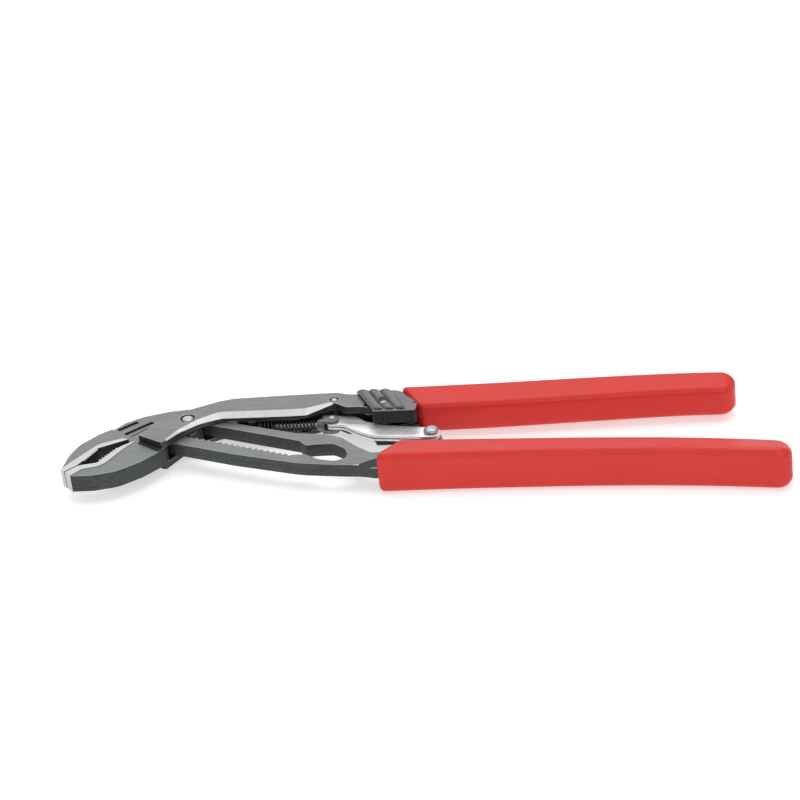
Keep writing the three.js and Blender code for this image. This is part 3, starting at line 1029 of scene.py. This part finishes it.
zinc = Finish("zinc_plated_steel")
spangle = zinc.noise(0.5, detail=4.0)
rolled = zinc.noise(1.0, along=(0.25, 1.8, 1.0), detail=3.0)
zinc_finish = zinc.shader(
    Base_Color=zinc.mix(
        zinc.between(spangle * 0.5 + rolled * 0.5, 0.3, 0.7), (0.74, 0.76, 0.77), (0.92, 0.94, 0.95)
    ),
    Metallic=0.85,
    Roughness=zinc.between(rolled, 0.2, 0.8) * 0.1 + 0.34,
    Normal=zinc.bump(spangle * 0.5 + rolled * 0.5, 0.08, 0.00002),
)
link_shape = rounded(
    [
        (48.7, 1.6, 2.2),
        (49.4, -0.6, 1.5),
        (55, -1, 5),
        (60.5, -5.6, 6),
        (66.6, -9.3, 6),
        (84, -11.2),
        (88.6, -11.2, 2.6),
        (90.3, -8, 2.6),
        (88.8, -4.8, 2.6),
        (84, -4.6, 3),
        (70, -2.4, 8),
        (63, 0.6, 4),
        (58.4, 5, 4),
        (51.6, 5.2, 3),
    ]
)
link_holes = [circle((51, 1.6), 1.35, 28), circle(LINK_END, 1.65, 28)]
for name, node, low, high in (
    ("link_top_plate", "link_plate_upper", 0.45, 1.45),
    ("link_under_plate", "link_plate_lower", -0.75, 0.15),
):
    pressed = Forge(name, [zinc_finish])
    pressed.plate(link_shape, low, high, 0.22, link_holes)
    shown = pressed.finish()
    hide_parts(node)
    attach(shown, "link")

HEAD_LOW = 1.6
rivet = Forge("link_rivet_head", [turned_steel])
dome = [
    (2.65 * math.cos(math.radians(a)), HEAD_LOW + 0.35 + 1.38 * math.sin(math.radians(a)))
    for a in (0, 15, 30, 45, 60, 75)
]
rivet.turned(
    LINK_END,
    [(0, -0.75), (1.5, -0.75), (1.5, HEAD_LOW), (2.5, HEAD_LOW), (2.63, HEAD_LOW + 0.12), *dome]
    + [(0, HEAD_LOW + 1.74)],
)
rivet_piece = rivet.finish()
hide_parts("link_rivet")
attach(rivet_piece, "link")

tail = Forge("link_rivet_tail", [turned_steel])
tail.turned(
    LINK_END,
    [
        (0, -3.48),
        (1.7, -3.45),
        (2.2, -3.2),
        (2.3, -2.9),
        (2.3, -2.55),
        (1.35, -2.55),
        (1.35, -1.05),
        (0, -1.05),
    ],
)
tail_piece = tail.finish()
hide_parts("rivet_tail")
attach(tail_piece, "inner")

# ---- thumb slide -------------------------------------------------------------------------------
# Two moulded nylon shells clasp the arm from above and below. Each has three rounded oblique ribs
# for the thumb and a flat side wall, and a pin holds the pair together.

nylon = Finish("satin_black_nylon")
mould = nylon.noise(2.2, detail=3.0)
scuff = nylon.noise(0.4, along=(0.4, 2.0, 1.0), detail=4.0)
# Faces looking up or down are lighter than the side walls where the scuff noise is high: painted
# light on the tops mixed with scuffs.
scuff_and_painted_top_light = nylon.upness(0.1, 1.0) * nylon.between(scuff, 0.1, 0.55)
nylon_finish = nylon.shader(
    Base_Color=nylon.mix(scuff_and_painted_top_light, (0.009, 0.011, 0.010), (0.12, 0.123, 0.121)),
    Specular_IOR_Level=0.45,
    Roughness=nylon.between(scuff, 0.3, 0.8) * 0.15 + 0.27,
    Normal=nylon.bump(mould, 0.3, 0.00004),
)
SLIDE_BASE = 6.0
RIB_FAR = Vector((58.6, 13))
RIB_NEAR = Vector((66, -1))
SLIDE_LENGTH = 14.2
PIN_DIMPLE = 1.75  # radius of the round pocket that the lock pin ends in
DIMPLE_FLOOR = 0.3
RIBS = 3
RIB_PITCH = 3.9
RIB_START = 0.4
RIB_VALLEY = 0.75
RIB_RISE = 0.92
RIB_FULLNESS = 0.6  # below 1, the ribs are rounder than a sine wave
FLAT_HEIGHT = 0.85
END_ROUND = 0.12
SIDE_ROUND = (0.18, 0.6)
WALL_RIBS = 8
WALL_RIB_PITCH = 1.72


def rib_height(u):
    """Height of the ribbed top at a distance along the slide: three rounded ribs, then a flat."""
    if u < RIB_START:
        return 0.9 + 0.5 * u
    if u < RIBS * RIB_PITCH + 0.6:
        share = abs(math.sin(math.pi * (u - 0.35) / RIB_PITCH))
        return RIB_VALLEY + RIB_RISE * share**RIB_FULLNESS
    return FLAT_HEIGHT


def shell(name, node, sign):
    made = Forge(name, [nylon_finish])
    rows = []
    stations = [0, END_ROUND]
    stations += [END_ROUND + (SLIDE_LENGTH - 2 * END_ROUND) * k / 64 for k in range(1, 64)]
    stations += [SLIDE_LENGTH - END_ROUND, SLIDE_LENGTH]
    lean = (RIB_NEAR - RIB_FAR).normalized()
    length = (RIB_NEAR - RIB_FAR).length
    near, far = SIDE_ROUND
    across = [0, 0, near, far] + [far + (length - 2 * far) * k / 30 for k in range(1, 30)]
    across += [length - far, length - near, length, length]
    drops = {1: 0.6, 2: 0.2, len(across) - 3: 0.2, len(across) - 2: 0.6}  # rounded side edges
    for k, u in enumerate(stations):
        end_drop = 0.25 if k in (0, len(stations) - 1) else 0
        row = []
        for i, v in enumerate(across):
            p = RIB_FAR + lean * v + Vector((u, 0))
            deep = min(max((PIN_DIMPLE + 0.25 - (p - Vector(LOCK_PIN)).length) / 0.5, 0), 1)
            tall = rib_height(u) - end_drop - drops.get(i, 0)
            tall += (DIMPLE_FLOOR - tall) * deep
            if i in (0, len(across) - 1):
                tall = 0
            row.append(made.point(p.x, p.y, sign * (SLIDE_BASE + tall)))
        rows.append(row)
    for a, b in zip(rows, rows[1:]):
        for i in range(len(a)):
            made.face((a[i - 1], a[i], b[i], b[i - 1]), 0)
    made.face(rows[0][::-1], 0)
    made.face(rows[-1], 0)
    wall = rounded([(64.9, 3.2), (66.2, -2.2, 1), (81.4, -2.2, 1), (81.4, 3.2)])
    low, high = sorted((sign * 1.9, sign * (SLIDE_BASE + 0.9)))
    made.plate(wall, low, high, 0.3)
    skirt = rounded([(70, 12.8), (74.2, 12.8, 0.5), (81, 2.6, 0.5), (78, 0)])
    low, high = sorted((sign * (CHEEK_OUT + 0.15), sign * (SLIDE_BASE + 0.45)))
    made.plate(skirt, low, high, 0.12)
    for k in range(WALL_RIBS):
        x = 67.4 + WALL_RIB_PITCH * k
        rib = rounded([(x, -2.0), (x + 0.22, -2.2), (x + 0.62, -2.2), (x + 0.84, -2.0)])
        made.plate(rib, *sorted((sign * 2.4, sign * (SLIDE_BASE + 0.2))), 0.02)
    shown = made.finish(sharp=40)
    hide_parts(node)
    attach(shown, "slide")


shell("thumb_slide_shell", "thumb_slide", 1)
shell("slide_under_shell", "slide_back", -1)

# ---- handle grips ------------------------------------------------------------------------------
# Each arm is dipped or sleeved in soft red vinyl with a satin skin: tall on the palm side, lower
# on the inner side, with rounded edges and closed ends.

vinyl = Finish("satin_red_vinyl")
skin = vinyl.noise(1.8, detail=4.0)
cloud = vinyl.noise(0.03, detail=3.0)
rub = vinyl.noise(0.12, along=(0.5, 1.5, 1.5), detail=5.0)
smudge = vinyl.between(rub, 0.66, 0.8)
red = vinyl.mix(cloud, (0.56, 0.020, 0.014), (0.64, 0.030, 0.022))
vinyl_finish = vinyl.shader(
    Base_Color=vinyl.mix(smudge * 0.12, red, (0.25, 0.03, 0.03)),
    Specular_IOR_Level=0.36,
    Roughness=vinyl.between(skin * 0.5 + rub * 0.5, 0.25, 0.75) * 0.14 + 0.36,
    Normal=vinyl.bump(skin, 0.25, 0.00004),
)


def along(points, x):
    """The height of a line through the points at x, smoothed by a cubic."""
    for k in range(len(points) - 1):
        (x0, y0), (x1, y1) = points[k], points[k + 1]
        if x <= x1 or k == len(points) - 2:
            break
    before = points[k - 1] if k else points[k]
    after = points[k + 2] if k + 2 < len(points) else points[k + 1]
    m0 = (y1 - before[1]) / (x1 - before[0])
    m1 = (after[1] - y0) / (after[0] - x0)
    h = x1 - x0
    t = (x - x0) / h
    a = 2 * t**3 - 3 * t**2 + 1
    b = t**3 - 2 * t**2 + t
    c = -2 * t**3 + 3 * t**2
    d = t**3 - t**2
    return a * y0 + b * h * m0 + c * y1 + d * h * m1


MOUTH_ROUND, MOUTH_INSET = 1.6, 1.6  # length and depth of the rounding at the jaw end
BUTT_ROUND, BUTT_INSET = 5.2, 3.4  # and at the butt
EDGE_RADIUS = 2.6


def grip(name, node, body_name, palm, inner_side, ends, palm_half, inner_half):
    """A sleeve lofted along the arm. palm and inner_side are lines of [x, y]; ends gives the x of
    the jaw end and of the butt on each side."""
    made = Forge(name, [vinyl_finish])
    (start_palm, start_inner), (end_palm, end_inner) = ends
    stations = []
    round_in, round_out = MOUTH_ROUND, BUTT_ROUND
    length = end_palm - start_palm
    for k in range(7):
        a = math.pi / 2 * k / 6
        stations.append((round_in * (1 - math.cos(a)) / length, MOUTH_INSET * (1 - math.sin(a))))
    for k in range(1, 40):
        stations.append((round_in / length + (1 - (round_in + round_out) / length) * k / 40, 0))
    for k in range(9):
        a = math.pi / 2 * k / 8
        stations.append(
            (1 - round_out * (1 - math.sin(a)) / length, BUTT_INSET * (1 - math.cos(a)))
        )
    rings = []
    for share, inset in stations:
        xp = start_palm + (end_palm - start_palm) * share
        xi = start_inner + (end_inner - start_inner) * share
        p = Vector((xp, along(palm, xp)))
        q = Vector((xi, along(inner_side, xi)))
        across = (p - q).normalized()
        width = (p - q).length - 2 * inset
        middle = (p + q) / 2
        ring = []
        for side, half in ((1, palm_half), (-1, inner_half)):
            tall = half - inset
            radius = min(EDGE_RADIUS, tall * 0.45, width * 0.3)
            for quadrant in (0, 1) if side > 0 else (2, 3):
                upper = 1 if quadrant in (1, 2) else -1
                cx = side * (width / 2 - radius)
                cz = upper * (tall - radius)
                first = {0: -90, 1: 0, 2: 90, 3: 180}[quadrant]
                for i in range(7):
                    t = math.radians(first + 90 * i / 6)
                    v = cx + radius * math.cos(t)
                    z = cz + radius * math.sin(t)
                    ring.append((middle + across * v, z))
        rings.append([made.point(m.x, m.y, z) for m, z in ring])
    for a, b in zip(rings, rings[1:]):
        made.walls(a, b, 0)
    made.face(rings[0][::-1], 0)
    made.face(rings[-1], 0)
    shown = made.finish(sharp=50)
    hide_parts(node)
    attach(shown, body_name)


grip(
    "upper_handle_grip",
    "upper_grip",
    "outer",
    [(76, 15.0), (88, 15.3), (109, 16), (144, 17.6), (172, 18.2), (192, 17.7)],
    [(76, 2.8), (82.6, 3.2), (109, 4.1), (144, 6.2), (171, 7.6), (192, 7.6)],
    ((73.8, 82.0), (190.8, 190.2)),
    7.4,
    5.8,
)
grip(
    "lower_handle_grip",
    "lower_grip",
    "inner",
    [(70, -33.4), (92, -33.2), (112, -33.3), (146, -34.0), (179, -35.9), (211, -39.3)],
    [(70, -18.4), (79, -18.4), (112, -19.4), (160, -21.5), (193, -24.6), (211, -27.4)],
    ((70.9, 77.4), (209.6, 209.6)),
    7.6,
    5.5,
)
